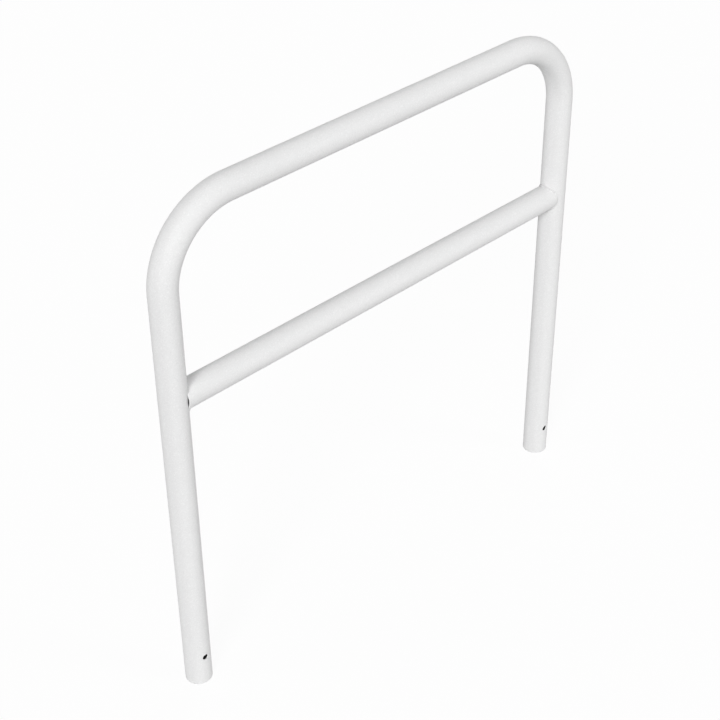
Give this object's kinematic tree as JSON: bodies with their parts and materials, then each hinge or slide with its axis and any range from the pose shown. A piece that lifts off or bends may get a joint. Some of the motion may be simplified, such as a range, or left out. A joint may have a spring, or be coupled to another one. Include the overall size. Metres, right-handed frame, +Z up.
{
  "type": "hoop barrier",
  "caption": "Bent steel tube hoop with rounded corners, a welded middle rail and an anchor hole through each leg, for setting in the ground.",
  "frame": {"origin": "on the floor, midway between the two legs", "axes": "+X along the hoop from the left leg to the right, +Y through it from front to back, +Z up"},
  "size_m": [1.2102, 0.0602, 1.2],
  "materials": {
    "powder_coat": "white powder coat with a fine pebbled texture, satin",
    "weld_coat": "the same coat over a rippled weld bead, satin"
  },
  "bodies": {
    "root": {"hoop_tube": "powder_coat", "mid_rail": "powder_coat", "left_upper_weld": "weld_coat", "left_lower_weld": "weld_coat", "right_upper_weld": "weld_coat", "right_lower_weld": "weld_coat"}
  },
  "joints": []
}
